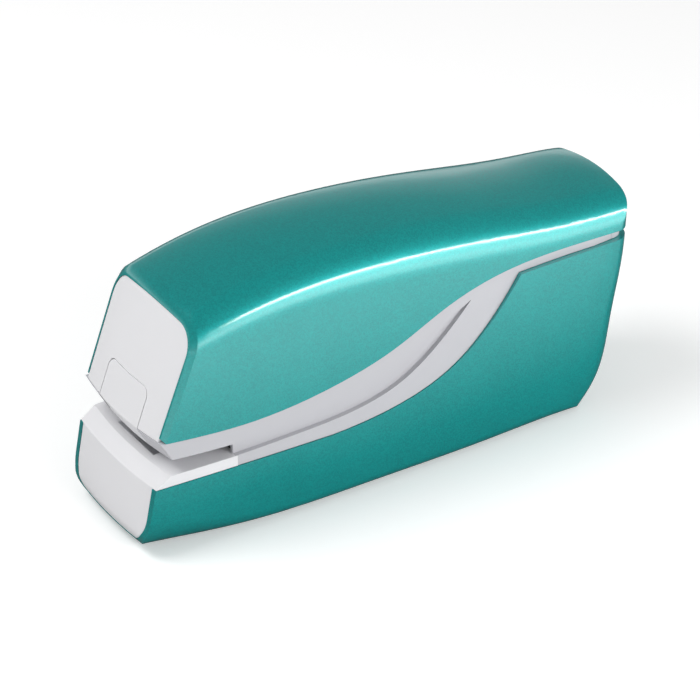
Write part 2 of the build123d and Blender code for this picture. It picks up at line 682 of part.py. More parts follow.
def coil(radius, wire, turns, length):
    """Open coil along +Z from Z = 0, swept on two arcs for every quarter turn."""
    steps = round(4 * turns)
    rise = length / (2 * pi * turns)
    points = []
    for i in range(steps + 1):
        angle = i * pi / 2
        place = Vector(radius * cos(angle), radius * sin(angle), rise * angle)
        heading = Vector(-radius * sin(angle), radius * cos(angle), rise).normalized()
        points.append((place, heading))
    edges = []
    for (start, out), (end, arrival) in zip(points, points[1:]):
        chord = end - start
        lean = chord.dot(out + arrival)
        spread = 2 * (1 - out.dot(arrival))
        reach = (sqrt(lean**2 + spread * chord.dot(chord)) - lean) / spread
        middle = (start + end + (out - arrival) * reach) * 0.5
        turn = (end - arrival * reach) - (start + out * reach)
        edges.append(Edge.make_tangent_arc(start, out, middle))
        edges.append(Edge.make_tangent_arc(middle, turn.normalized(), end))
    place, heading = points[0]
    return sweep(Plane(origin=place, z_dir=heading) * Circle(wire), path=Wire(edges))


def return_springs():
    bottom = BLOCK_BASE + BLOCK_HEIGHT + RETURN_WIRE_R + 0.1
    top = BAR_HEIGHT - BAR_R - RETURN_WIRE_R - 0.1
    spring = coil(RETURN_COIL_R, RETURN_WIRE_R, RETURN_TURNS, top - bottom)
    spring = Pos(ROD_X, y_at(ROD_STATION), bottom) * spring
    return both_sides(spring)


def pusher_spring():
    start = COLLAR_START + PUSHER_COLLAR + SPRING_WIRE_R + 0.1
    end = MAG_FLOOR_END - BULKHEAD - SPRING_WIRE_R - 0.1
    spring = coil(PUSHER_COIL_R, SPRING_WIRE_R, PUSHER_TURNS, end - start)
    return Pos(0, y_at(start), RAIL_MIDDLE) * Rot(-90, 0, 0) * spring


def driver_blade():
    half = BLADE_THICK / 2
    stations = (DRIVE_STATION - half, DRIVE_STATION + half)
    return box((-BLADE_HALF, BLADE_HALF), stations, (BLADE_TIP, BLOCK_BASE + BLOCK_HEIGHT))


def driver_carriage():
    """Block that slides on the two rods, with an arm and a slotted yoke for the crank's pin."""
    front = DRIVE_STATION + BLADE_THICK / 2
    top = BLOCK_BASE + BLOCK_HEIGHT
    block = box((-BLOCK_HALF, BLOCK_HALF), (front, BLOCK_BACK), (BLOCK_BASE, top))
    reach = CRANK_R + CRANK_PIN_R + 0.4
    play = CRANK_PIN_R + YOKE_PLAY
    stations = (CRANK_STATION - reach - YOKE_WALL, CRANK_STATION + reach + YOKE_WALL)
    heights = (PIN_HEIGHT - play - YOKE_WALL, PIN_HEIGHT + play + YOKE_WALL)
    yoke = box((-YOKE_HALF, YOKE_HALF), stations, heights)
    arm = box((-YOKE_HALF, YOKE_HALF), (front, CRANK_STATION), (BLOCK_BASE, heights[0] + 0.5))
    window = box((-5, 5), (CRANK_STATION - reach, CRANK_STATION + reach), (PIN_HEIGHT - play, PIN_HEIGHT + play))
    carriage = block + arm + yoke - fillet(window.edges().filter_by(Axis.X), CRANK_PIN_R)
    for x in (-ROD_X, ROD_X):
        carriage = carriage - post(ROD_R + FIT, x, ROD_STATION, (0, 130))
    return carriage


def guide_rods():
    rods = [post(ROD_R, x, ROD_STATION, (GUIDE_FACE, BAR_HEIGHT - BAR_R)) for x in (-ROD_X, ROD_X)]
    return Compound(children=[rod_solid.solid() for rod_solid in rods])


def crank_shaft():
    end = PLATE_X + PLATE
    shaft = rod(CRANK_SHAFT_R, (WEB[0], end), CRANK_STATION, AXIS_HEIGHT)
    web = rod(WEB_R, WEB, CRANK_STATION, AXIS_HEIGHT)
    side = shaft + web
    pin = rod(CRANK_PIN_R, (-WEB[1], WEB[1]), CRANK_STATION, PIN_HEIGHT)
    return side + mirrored(side) + pin


def toothed(teeth, station, x, offset):
    """Spur wheel along X; offset is the angle of its first tooth from straight back."""
    pitch_r = MODULE * teeth / 2
    base_r = pitch_r * cos(radians(PRESSURE_ANGLE))
    outer_r = pitch_r + 0.9 * MODULE
    root_r = pitch_r - 1.2 * MODULE

    def half_angle(radius):
        def involute(angle):
            return tan(angle) - angle

        swing = involute(radians(PRESSURE_ANGLE)) - involute(acos(min(base_r / radius, 1.0)))
        return (pi * MODULE - BACKLASH) / (4 * pitch_r) + swing

    flank = [root_r] + [base_r + (outer_r - base_r) * i / 3 for i in range(4)]
    if base_r < root_r:
        flank = [root_r + (outer_r - root_r) * i / 3 for i in range(4)]
    points = []
    for tooth in range(teeth):
        middle = offset + 2 * pi * tooth / teeth
        rising = [(r, middle - half_angle(max(r, base_r))) for r in flank]
        falling = [(r, middle + half_angle(max(r, base_r))) for r in reversed(flank)]
        points += [(r * cos(angle), r * sin(angle)) for r, angle in rising + falling]
    profile = Plane.YZ * make_face(Polyline(*points, points[0]))
    return Pos(x[0], y_at(station), AXIS_HEIGHT) * extrude(profile, x[1] - x[0], dir=(1, 0, 0))


def wheel(station, step):
    """Large wheel; step counts the gear planes outwards from the motor."""
    x = GEAR_FIRST_X + step * GEAR_STEP
    return toothed(WHEEL_TEETH, station, (x, x + GEAR_WIDTH), pi / WHEEL_TEETH)


def pinion(station, step, inner):
    x = GEAR_FIRST_X + step * GEAR_STEP
    return toothed(PINION_TEETH, station, (x - inner, x + GEAR_WIDTH + 0.1), 0.0)


def crank_gear():
    gear = wheel(CRANK_STATION, 2)
    return gear - rod(CRANK_SHAFT_R, (0, 30), CRANK_STATION, AXIS_HEIGHT)


def gear_pair(station, step):
    """Wheel and pinion in one piece on a shaft between the plates."""
    end = PLATE_X + PLATE
    shaft = rod(SHAFT_R, (-end, end), station, AXIS_HEIGHT)
    return wheel(station, step) + pinion(station, step + 1, GEAR_STEP - GEAR_WIDTH) + shaft


def motor_pinion():
    return pinion(MOTOR_STATION, 0, 0.4) - rod(MOTOR_SHAFT_R, (0, 30), MOTOR_STATION, AXIS_HEIGHT)


def motor_shaft():
    end = GEAR_FIRST_X + GEAR_WIDTH + 0.1
    return rod(MOTOR_SHAFT_R, (MOTOR_X[1] - 3, end), MOTOR_STATION, AXIS_HEIGHT)


def motor():
    low, high = MOTOR_X
    can = rod(MOTOR_R, (low, high), MOTOR_STATION, AXIS_HEIGHT)
    can = fillet(can.edges(), 1.0)
    boss = rod(MOTOR_BOSS_R, (high - 1, BRACKET[1] - 0.3), MOTOR_STATION, AXIS_HEIGHT)
    hub = rod(MOTOR_BOSS_R, (low - 1.5, low + 1), MOTOR_STATION, AXIS_HEIGHT)
    terminal = box((low - 1.4, low + 1), (MOTOR_STATION + 5, MOTOR_STATION + 7), (AXIS_HEIGHT - 0.3, AXIS_HEIGHT + 0.3))
    other = box((low - 1.4, low + 1), (MOTOR_STATION - 7, MOTOR_STATION - 5), (AXIS_HEIGHT - 0.3, AXIS_HEIGHT + 0.3))
    bore = rod(MOTOR_SHAFT_R + FIT, (high - 3 - FIT, high + 5), MOTOR_STATION, AXIS_HEIGHT)
    return can + boss + hub + terminal + other - bore


def motor_bracket():
    plate = box(BRACKET, BRACKET_STATIONS, (GUIDE_FACE, AXIS_HEIGHT + MOTOR_R - 1))
    hole = rod(MOTOR_BOSS_R + FIT, (BRACKET[0] - 1, BRACKET[1] + 1), MOTOR_STATION, AXIS_HEIGHT)
    return plate - hole


def drive_plate():
    """Right-hand side plate of the drive."""
    plate = box((PLATE_X, PLATE_X + PLATE), PLATE_STATIONS, (GUIDE_FACE, PLATE_TOP))
    plate = fillet(plate.edges().filter_by(Axis.X).group_by(Axis.Z)[-1], 2.0)
    for station, radius in [(CRANK_STATION, CRANK_SHAFT_R), (MIDDLE_STATION, SHAFT_R), (FIRST_STATION, SHAFT_R)]:
        plate = plate - rod(radius + FIT, (PLATE_X - 1, PLATE_X + PLATE + 1), station, AXIS_HEIGHT)
    return plate


def spring_bar():
    return rod(BAR_R, (-PLATE_X, PLATE_X), ROD_STATION, BAR_HEIGHT)


def circuit_board():
    heights = (BOARD_FACE - BOARD_THICK, BOARD_FACE)
    return box((-BOARD_HALF, BOARD_HALF), BOARD_STATIONS, heights)


def on_board(x, station, size):
    return Pos(x, y_at(station), BOARD_FACE + size[2] / 2) * Box(*size)


def capacitors():
    heights = (BOARD_FACE, BOARD_FACE + CAPACITOR_HEIGHT)
    cans = [post(CAPACITOR_R, x, 132.0, heights) for x in (-8.0, 0.0)]
    return Compound(children=[fillet(can.edges().group_by(Axis.Z)[-1], 0.5).solid() for can in cans])


def tube(points, radius, bend):
    path = FilletPolyline(*[(x, y_at(s), z) for x, s, z in points], radius=bend)
    return sweep(Plane(origin=path @ 0, z_dir=path % 0) * Circle(radius), path=path)


def cell(side, row):
    """One AA cell; the left column is turned the other way round."""
    start = BAY_START + CONTACT + 0.1 + row * (CELL_LENGTH + CELL_GAP)
    if side < 0:
        start = start + CONTACT_SPRING
    nub = 1.2
    ahead = side > 0
    body = (start + nub, start + CELL_LENGTH) if ahead else (start, start + CELL_LENGTH - nub)
    tip = (start, start + nub + 1) if ahead else (start + CELL_LENGTH - nub - 1, start + CELL_LENGTH)
    can = long_rod(CELL_R, body, side * CELL_X, CELL_AXIS)
    can = fillet(can.edges(), 0.6)
    return can + long_rod(CELL_NUB_R, tip, side * CELL_X, CELL_AXIS)


def battery_box():
    """Tray over the cells, open below."""
    inside = (-BAY_HALF, BAY_HALF)
    outside = (-BAY_HALF - BAY_WALL, BAY_HALF + BAY_WALL)
    top = CELL_AXIS + CELL_R + BOX_TOP_GAP
    shell = box(outside, (BAY_START - BAY_WALL, BAY_END + BAY_WALL), (BOTTOM + SHELL, top + BAY_WALL))
    return shell - box(inside, (BAY_START, BAY_END), (0, top))


def contact_plate(x, station):
    heights = (CELL_AXIS - CONTACT_HALF, CELL_AXIS + CONTACT_HALF)
    return box(x, (station, station + CONTACT), heights)


def contacts():
    """Two separate terminals in front and one link behind."""
    span = (CELL_X - CONTACT_HALF, CELL_X + CONTACT_HALF)
    right = contact_plate(span, BAY_START)
    link = contact_plate((-span[1], span[1]), BAY_END - CONTACT)
    return right, mirrored(right), link


def contact_springs():
    length = CONTACT_SPRING - 2 * CONTACT_WIRE_R - 0.3
    spring = Rot(-90, 0, 0) * coil(CONTACT_COIL_R, CONTACT_WIRE_R, CONTACT_TURNS, length)
    front = Pos(-CELL_X, y_at(BAY_START + CONTACT + CONTACT_WIRE_R + 0.1), CELL_AXIS) * spring
    rear_station = BAY_END - CONTACT - CONTACT_WIRE_R - 0.1 - length
    rear = Pos(CELL_X, y_at(rear_station), CELL_AXIS) * spring
    return Compound(children=[front.solid(), rear.solid()])


def battery_door():
    half = BAY_HALF - CLEAR
    plate = box((-half, half), (HINGE_STATION, DOOR_END), (BOTTOM, BOTTOM + DOOR_THICK))
    barrel = rod(BARREL_R, (-half, half), HINGE_STATION, HINGE_HEIGHT)
    reach = BAY_HALF + LUG - 0.6
    pins = rod(HINGE_PIN_R, (-reach, reach), HINGE_STATION, HINGE_HEIGHT)
    wide, thick, tall = LATCH
    latch = box((-wide, wide), (DOOR_END - thick, DOOR_END), (BOTTOM, BOTTOM + DOOR_THICK + tall))
    door = plate + barrel + pins + latch
    for i in range(4):
        groove = rod(0.7, (-9, 9), DOOR_END - 6 - 2.6 * i, BOTTOM - 0.25)
        door = door - groove
    return door


outer = casing(0)
hollow = casing(SHELL)
seat = casing(SHELL + SEAM)
frame_inner = casing(FRAME_INNER)
head = (outer & above(UPPER_EDGE, 0)) - head_cutter(0)
front_edges = head.faces().sort_by(Axis.Y)[0].edges().sort_by(Axis.Z)[1:]
frame_right, frame_left, band = frames(seat, frame_inner)
contact_right, contact_left, contact_link = contacts()
plate_right = drive_plate()
foot_pads = Compound(children=[pad.solid() for pad in feet()])

parts = {
    "upper_shell": (chamfer(front_edges, RIM_CHAMFER) - hollow, TEAL),
    "lower_shell": (lower_shell(outer, hollow), TEAL),
    "side_frame_right": (frame_right, GREY),
    "side_frame_left": (frame_left, GREY),
    "rear_band": (band, GREY),
    "nose_block": (nose_block(outer), WHITE),
    "anvil_plate": (anvil_plate(), STEEL),
    "front_cap": (front_cap(seat), WHITE),
    "magazine_door": (magazine_door(), WHITE),
    "core_frame": (core_frame(), BLACK),
    "magazine_guide": (magazine_guide(), STEEL),
    "magazine_channel": (magazine_channel(), STEEL),
    "staple_rail": (staple_rail(), STEEL),
    "staple_strip": (staple_strip(), STEEL),
    "pusher": (pusher(), BLACK),
    "pusher_rod": (pusher_rod(), STEEL),
    "pusher_spring": (pusher_spring(), STEEL),
    "paper_trigger": (paper_trigger(), BLACK),
    "paper_sensor": (paper_sensor(), BLACK),
    "driver_blade": (driver_blade(), STEEL),
    "driver_carriage": (driver_carriage(), BLACK),
    "guide_rods": (guide_rods(), STEEL),
    "return_springs": (return_springs(), STEEL),
    "spring_bar": (spring_bar(), STEEL),
    "crank_shaft": (crank_shaft(), STEEL),
    "crank_gear": (crank_gear(), WHITE),
    "middle_gear": (gear_pair(MIDDLE_STATION, 1), WHITE),
    "first_gear": (gear_pair(FIRST_STATION, 0), WHITE),
    "motor_pinion": (motor_pinion(), STEEL),
    "motor_shaft": (motor_shaft(), STEEL),
    "motor": (motor(), STEEL),
    "motor_bracket": (motor_bracket(), STEEL),
    "drive_plate_right": (plate_right, STEEL),
    "drive_plate_left": (mirrored(plate_right), STEEL),
    "circuit_board": (circuit_board(), TEAL),
    "capacitors": (capacitors(), BLACK),
    "control_chip": (on_board(8.0, 122.0, CHIP), BLACK),
    "wire_socket": (on_board(0.0, 108.0, SOCKET), WHITE),
    "battery_box": (battery_box(), BLACK),
    "cell_front_right": (cell(1, 0), STEEL),
    "cell_rear_right": (cell(1, 1), STEEL),
    "cell_front_left": (cell(-1, 0), STEEL),
    "cell_rear_left": (cell(-1, 1), STEEL),
    "contact_right": (contact_right, STEEL),
    "contact_left": (contact_left, STEEL),
    "contact_link": (contact_link, STEEL),
    "contact_springs": (contact_springs(), STEEL),
    "battery_door": (battery_door(), TEAL),
    "case_screws": (case_screws(), STEEL),
    "feet": (foot_pads, BLACK),
}
for name, (shape, colour) in parts.items():
    save(name, shape, colour)
    print(name, shape.is_valid, len(shape.solids()), round(shape.volume, 1))
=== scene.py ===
import json
import math

import bpy
from bpy.props import (
    FloatProperty,
    FloatVectorProperty,
    PointerProperty,
)
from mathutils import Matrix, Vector


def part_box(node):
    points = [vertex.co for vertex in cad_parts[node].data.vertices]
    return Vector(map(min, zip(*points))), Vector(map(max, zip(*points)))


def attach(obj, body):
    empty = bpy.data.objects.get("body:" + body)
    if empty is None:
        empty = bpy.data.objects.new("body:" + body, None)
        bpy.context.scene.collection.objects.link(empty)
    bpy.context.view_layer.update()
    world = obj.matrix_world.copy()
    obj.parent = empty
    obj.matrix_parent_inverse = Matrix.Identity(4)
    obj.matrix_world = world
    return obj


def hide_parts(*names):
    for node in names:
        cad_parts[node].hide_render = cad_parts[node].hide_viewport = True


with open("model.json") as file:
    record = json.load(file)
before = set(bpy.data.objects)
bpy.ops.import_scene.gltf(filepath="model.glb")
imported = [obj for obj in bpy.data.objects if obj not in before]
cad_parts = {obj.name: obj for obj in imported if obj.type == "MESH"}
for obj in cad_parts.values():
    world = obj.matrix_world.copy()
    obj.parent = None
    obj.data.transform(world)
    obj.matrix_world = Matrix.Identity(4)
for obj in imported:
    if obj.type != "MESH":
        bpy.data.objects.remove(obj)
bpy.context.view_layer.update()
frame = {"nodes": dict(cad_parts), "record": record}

bl_info = {
    "name": "Electric Stapler",
    "version": (1, 0, 0),
    "blender": (4, 5, 0),
    "location": "3D View > Sidebar > Stapler",
    "description": "Finishes and the studio for a battery desk stapler",
    "category": "Object",
}

BODY_OF = {
    node: body
    for body, nodes in frame["record"]["behaviour"]["bodies"].items()
    for node in nodes
}


def colour_prop(name, text, default):
    return FloatVectorProperty(
        name=name, description=text, default=default, size=3, min=0, max=1, subtype="COLOR"
    )


def length_prop(name, text, default):
    return FloatProperty(
        name=name, description=text, default=default, min=0, unit="LENGTH", subtype="DISTANCE"
    )


class StaplerColours(bpy.types.PropertyGroup):
    """Colours of the finishes, as linear RGB"""

    shell: colour_prop("Shell", "Pearl paint of the shells", (0.002, 0.420, 0.410))
    shell_dark: colour_prop("Shell flakes", "Darker grains in the pearl paint", (0.001, 0.300, 0.295))
    white: colour_prop("White", "Nose, cap and magazine door", (0.80, 0.80, 0.82))
    grey: colour_prop("Grey", "Side frames and rear band", (0.54, 0.54, 0.57))
    black: colour_prop("Black", "Inner plastic", (0.022, 0.022, 0.024))
    gear: colour_prop("Gear", "Acetal of the gears", (0.68, 0.67, 0.60))
    sheet: colour_prop("Sheet steel", "Plated sheet steel", (0.52, 0.53, 0.55))
    bright: colour_prop("Bright steel", "Polished steel", (0.66, 0.67, 0.69))
    anvil: colour_prop("Anvil", "Satin plated steel of the anvil", (0.80, 0.80, 0.82))
    brass: colour_prop("Brass", "Motor pinion", (0.62, 0.42, 0.16))
    board: colour_prop("Board", "Solder mask of the circuit board", (0.006, 0.10, 0.035))
    wrap: colour_prop("Cell wrap", "Sleeve of the cells", (0.018, 0.020, 0.026))
    wrap_band: colour_prop("Cell band", "Lighter band of the cells' sleeve", (0.45, 0.20, 0.07))
    rubber: colour_prop("Rubber", "Feet", (0.020, 0.020, 0.021))
    floor: colour_prop("Floor", "Studio floor", (0.80, 0.80, 0.80))


class StaplerSizes(bpy.types.PropertyGroup):
    """Sizes of textures and the angle of smooth shading"""

    flake: length_prop("Flake", "Size of one grain in the pearl paint", 0.00035)
    smooth_angle: FloatProperty(
        name="Smooth angle",
        description="Faces that meet at less than this are shaded as one surface",
        default=math.radians(28),
        subtype="ANGLE",
    )


class StaplerStudio(bpy.types.PropertyGroup):
    """Camera and light"""

    lens: FloatProperty(name="Lens", description="Focal length", default=154.3, min=10, unit="CAMERA")
    azimuth: FloatProperty(name="Azimuth", description="Camera, round from the front", default=57.4)
    elevation: FloatProperty(name="Elevation", description="Camera, above the horizon", default=31.3)
    key: FloatProperty(name="Key", description="Power of the key softbox in watts", default=5.3, min=0)
    fill: FloatProperty(
        name="Fill", description="Power of the right-hand softbox in watts", default=0.8, min=0
    )
    strip: FloatProperty(name="Strip", description="Power of the strip light in watts", default=1.7, min=0)
    panel: FloatProperty(name="Panel", description="Power of the standing panel in watts", default=1.4, min=0)
    sky: FloatProperty(name="Sky", description="Strength of the even light", default=0.42, min=0)
    lift: FloatProperty(
        name="Lift", description="Brightness the floor gains for the camera", default=0.3, min=0
    )


# ---- shader helpers ----
class Value:
    """A shader socket that Python arithmetic turns into Math nodes"""

    def __init__(self, finish, socket):
        self.finish = finish
        self.socket = socket

    def combine(self, operation, first, second):
        node = self.finish.add("ShaderNodeMath", {"operation": operation}, {0: first, 1: second})
        return Value(self.finish, node.outputs[0])

    def __add__(self, other):
        return self.combine("ADD", self, other)

    def __sub__(self, other):
        return self.combine("SUBTRACT", self, other)

    def __mul__(self, other):
        return self.combine("MULTIPLY", self, other)

    def __truediv__(self, other):
        return self.combine("DIVIDE", self, other)

    def __rsub__(self, other):
        return self.combine("SUBTRACT", other, self)

    def __gt__(self, other):
        return self.combine("GREATER_THAN", self, other)

    def __lt__(self, other):
        return self.combine("LESS_THAN", self, other)

    def power(self, exponent):
        return self.combine("POWER", self, exponent)

    __radd__ = __add__
    __rmul__ = __mul__


class Finish:
    """A node-built material with one Principled shader"""

    def __init__(self, name):
        self.material = bpy.data.materials.new(name)
        self.material.use_nodes = True
        self.tree = self.material.node_tree
        self.shader = next(n for n in self.tree.nodes if n.type == "BSDF_PRINCIPLED")

    def add(self, kind, settings=None, inputs=None):
        node = self.tree.nodes.new(kind)
        for key, value in (settings or {}).items():
            if key == "stops":
                ramp = node.color_ramp.elements
                while len(ramp) < len(value):
                    ramp.new(1.0)
                for stop, (place, colour) in zip(ramp, value):
                    stop.position = place
                    stop.color = colour
            else:
                setattr(node, key, value)
        for key, value in (inputs or {}).items():
            self.plug(node.inputs[key], value)
        return node

    def plug(self, socket, value):
        if isinstance(value, Value):
            self.tree.links.new(value.socket, socket)
        elif isinstance(value, bpy.types.NodeSocket):
            self.tree.links.new(value, socket)
        else:
            socket.default_value = value

    def set(self, **values):
        for key, value in values.items():
            self.plug(self.shader.inputs[key.replace("_", " ").title().replace("Ior", "IOR")], value)

    def place(self, scale=(1, 1, 1)):
        """Object coordinates, stretched"""
        coords = self.add("ShaderNodeTexCoord")
        mapping = self.add("ShaderNodeMapping", None, {"Vector": coords.outputs["Object"], "Scale": scale})
        return mapping.outputs["Vector"]

    def axis(self, index):
        coords = self.add("ShaderNodeTexCoord")
        parts = self.add("ShaderNodeSeparateXYZ", None, {"Vector": coords.outputs["Object"]})
        return Value(self, parts.outputs[index])

    def noise(self, size, detail=2.0, stretch=(1, 1, 1), roughness=0.5):
        node = self.add(
            "ShaderNodeTexNoise",
            None,
            {"Vector": self.place(stretch), "Scale": 1 / size, "Detail": detail, "Roughness": roughness},
        )
        return Value(self, node.outputs["Fac"])

    def grains(self, size):
        node = self.add("ShaderNodeTexVoronoi", None, {"Vector": self.place(), "Scale": 1 / size})
        parts = self.add("ShaderNodeSeparateColor", None, {"Color": node.outputs["Color"]})
        return Value(self, parts.outputs[0])

    def between(self, low, high, factor):
        node = self.add("ShaderNodeMix", {"data_type": "RGBA"}, {0: factor, 6: paint(low), 7: paint(high)})
        return node.outputs[2]

    def bump(self, height, distance, strength=1.0):
        node = self.add("ShaderNodeBump", None, {"Height": height, "Distance": distance, "Strength": strength})
        return node.outputs["Normal"]


def paint(colour):
    return colour if isinstance(colour, bpy.types.NodeSocket) else (*colour, 1.0)


def shade(colour, factor):
    return tuple(min(c * factor, 1.0) for c in colour)


def pearl_finish(colours, sizes):
    """Pearl paint: metal flakes of two tones under a clear coat"""
    f = Finish("pearl_teal")
    flakes = f.grains(sizes.flake)
    cloud = f.noise(0.02, 2.0)
    tone = f.between(colours.shell_dark, colours.shell, flakes)
    f.set(base_color=f.between(tone, shade(colours.shell, 1.08), cloud * 0.35))
    f.set(metallic=0.5, roughness=0.36 + flakes * 0.10)
    f.set(coat_weight=1.0, coat_roughness=0.14, coat_ior=1.8, specular_ior_level=0.2)
    f.set(normal=f.bump(f.noise(0.0004, 1.0), 0.00001, 0.5))
    return f.material


def moulded_finish(name, colour, roughness, grain=0.0006, depth=0.00001, cloud=0.04):
    """Moulded plastic with a fine spark-eroded grain"""
    f = Finish(name)
    soft = f.noise(0.012, 3.0)
    f.set(base_color=f.between(shade(colour, 1 - cloud), shade(colour, 1 + cloud), soft))
    f.set(roughness=roughness - 0.03 + f.noise(0.004, 2.0) * 0.06)
    f.set(normal=f.bump(f.noise(grain, 2.0), depth, 0.5))
    return f.material


def steel_finish(name, colour, roughness, along=(1, 0.05, 1)):
    """Steel drawn or rolled along one direction"""
    f = Finish(name)
    lines = f.noise(0.0004, 3.0, along)
    f.set(base_color=f.between(shade(colour, 0.86), shade(colour, 1.1), lines), metallic=1.0)
    f.set(roughness=roughness - 0.06 + lines * 0.12, normal=f.bump(lines, 0.000006, 0.4))
    return f.material


def rubber_finish(colour):
    f = Finish("rubber")
    pores = f.noise(0.0005, 4.0)
    f.set(base_color=f.between(shade(colour, 0.8), shade(colour, 1.4), pores), roughness=0.75 + pores * 0.15)
    f.set(normal=f.bump(pores, 0.00004, 0.6))
    return f.material


def board_finish(colour):
    """Solder mask with copper tracks that show through"""
    f = Finish("circuit_board")
    tracks = f.add(
        "ShaderNodeTexBrick",
        {"offset": 0.5},
        {"Vector": f.place((1, 1, 0)), "Scale": 160.0, "Mortar Size": 0.05, "Mortar Smooth": 0.2},
    )
    mask = Value(f, tracks.outputs["Fac"])
    f.set(base_color=f.between(colour, shade(colour, 2.2), mask), roughness=0.32 + mask * 0.1)
    f.set(normal=f.bump(mask, 0.00003, 0.5))
    return f.material


def cell_finish(node, colours, plus_front):
    """Printed sleeve with a lighter band at the plus end and bare metal ends"""
    low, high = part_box(node)
    f = Finish(node + "_sleeve")
    y = f.axis(1)
    if plus_front:
        from_plus = y - low.y
    else:
        from_plus = high.y - y
    band = (from_plus > 0.0022) * (from_plus < 0.014)
    ends = 1 - (from_plus > 0.0022) * (from_plus < (high.y - low.y) - 0.0008)
    sleeve = f.between(colours.wrap, colours.wrap_band, band)
    scuffs = f.noise(0.003, 4.0)
    f.set(base_color=f.between(sleeve, colours.bright, ends), metallic=ends, roughness=0.28 + scuffs * 0.12)
    f.set(normal=f.bump(scuffs, 0.00002, 0.2))
    return f.material


FINISHES = {}


def finishes():
    """Materials by the record's slot, made once"""
    if FINISHES:
        return FINISHES
    colours = bpy.context.scene.stapler_colours
    sizes = bpy.context.scene.stapler_sizes
    FINISHES["teal_plastic"] = pearl_finish(colours, sizes)
    FINISHES["white_plastic"] = moulded_finish("white_satin", colours.white, 0.34, cloud=0.01)
    FINISHES["grey_plastic"] = moulded_finish("grey_satin", colours.grey, 0.38, cloud=0.015)
    FINISHES["black_plastic"] = moulded_finish("black_matte", colours.black, 0.5, cloud=0.1)
    FINISHES["gear_plastic"] = moulded_finish("acetal", colours.gear, 0.36, cloud=0.04)
    FINISHES["steel_sheet"] = steel_finish("plated_sheet", colours.sheet, 0.38)
    FINISHES["bright_steel"] = steel_finish("bright_steel", colours.bright, 0.22)
    FINISHES["brass"] = steel_finish("turned_brass", colours.brass, 0.28)
    FINISHES["can_metal"] = steel_finish("can_metal", colours.bright, 0.32)
    FINISHES["board"] = board_finish(colours.board)
    FINISHES["rubber"] = rubber_finish(colours.rubber)
    return FINISHES


# ---- mesh helpers ----
def clear_selection():
    if bpy.context.object and bpy.context.object.mode != "OBJECT":
        bpy.ops.object.mode_set(mode="OBJECT")
    bpy.ops.object.select_all(action="DESELECT")


def choose(piece):
    clear_selection()
    piece.select_set(True)
    bpy.context.view_layer.objects.active = piece


def slot_of(node):
    rows = frame["record"]["subparts"]
    return next(row["material_slot"] for row in rows if row["node"] == node)


def give(piece, material):
    piece.data.materials.clear()
    piece.data.materials.append(material)


def dress(node, material=None):
    """Gives a CAD node its finish"""
    give(frame["nodes"][node], material or finishes()[slot_of(node)])


def moulding(node):
    """A merged and smoothed copy that stands for a CAD node"""
    sizes = bpy.context.scene.stapler_sizes
    source = frame["nodes"][node]
    piece = bpy.data.objects.new(node + "_moulding", source.data.copy())
    bpy.context.scene.collection.objects.link(piece)
    choose(piece)
    bpy.ops.object.mode_set(mode="EDIT")
    bpy.ops.mesh.select_all(action="SELECT")
    bpy.ops.mesh.remove_doubles(threshold=0.000002)
    bpy.ops.mesh.customdata_custom_splitnormals_clear()
    bpy.ops.object.mode_set(mode="OBJECT")
    bpy.ops.object.shade_smooth_by_angle(angle=sizes.smooth_angle)
    give(piece, finishes()[slot_of(node)])
    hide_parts(node)
    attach(piece, BODY_OF[node])
    return piece


# ---- operators ----
class STAPLER_OT_shells(bpy.types.Operator):
    """Pearl painted shells and battery door"""

    bl_idname = "stapler.shells"
    bl_label = "Shells"

    def execute(self, context):
        for node in ("upper_shell", "lower_shell", "battery_door"):
            moulding(node)
        return {"FINISHED"}


class STAPLER_OT_frames(bpy.types.Operator):
    """Grey side frames and the band behind them"""

    bl_idname = "stapler.frames"
    bl_label = "Side frames"

    def execute(self, context):
        for node in ("side_frame_right", "side_frame_left", "rear_band"):
            moulding(node)
        return {"FINISHED"}


class STAPLER_OT_fronts(bpy.types.Operator):
    """White nose, cap and magazine door, and the steel anvil"""

    bl_idname = "stapler.fronts"
    bl_label = "White fronts"

    def execute(self, context):
        for node in ("nose_block", "front_cap", "magazine_door"):
            moulding(node)
        colours = context.scene.stapler_colours
        dress("anvil_plate", steel_finish("anvil_steel", colours.anvil, 0.5))
        return {"FINISHED"}


class STAPLER_OT_magazine(bpy.types.Operator):
    """Magazine channel, staples, pusher and its spring"""

    bl_idname = "stapler.magazine"
    bl_label = "Magazine"

    def execute(self, context):
        for node in (
            "magazine_channel", "staple_rail", "staple_strip", "pusher", "pusher_rod", "pusher_spring",
            "magazine_guide", "paper_trigger", "paper_sensor",
        ):
            dress(node)
        return {"FINISHED"}


class STAPLER_OT_drive(bpy.types.Operator):
    """Motor, gears, crank and the sliding driver"""

    bl_idname = "stapler.drive"
    bl_label = "Drive"

    def execute(self, context):
        for node in (
            "core_frame", "driver_blade", "driver_carriage", "guide_rods", "return_springs", "spring_bar",
            "crank_shaft", "crank_gear", "middle_gear", "first_gear", "motor_pinion", "motor_shaft", "motor",
            "motor_bracket", "drive_plate_right", "drive_plate_left",
        ):
            dress(node)
        return {"FINISHED"}


class STAPLER_OT_electronics(bpy.types.Operator):
    """Circuit board, its parts, the cells and their contacts"""

    bl_idname = "stapler.electronics"
    bl_label = "Electronics"

    def execute(self, context):
        for node in (
            "circuit_board", "capacitors", "control_chip", "wire_socket", "battery_box",
            "contact_right", "contact_left", "contact_link", "contact_springs",
        ):
            dress(node)
        colours = context.scene.stapler_colours
        for node in ("cell_front_right", "cell_rear_right", "cell_front_left", "cell_rear_left"):
            dress(node, cell_finish(node, colours, node.endswith("right")))
        return {"FINISHED"}


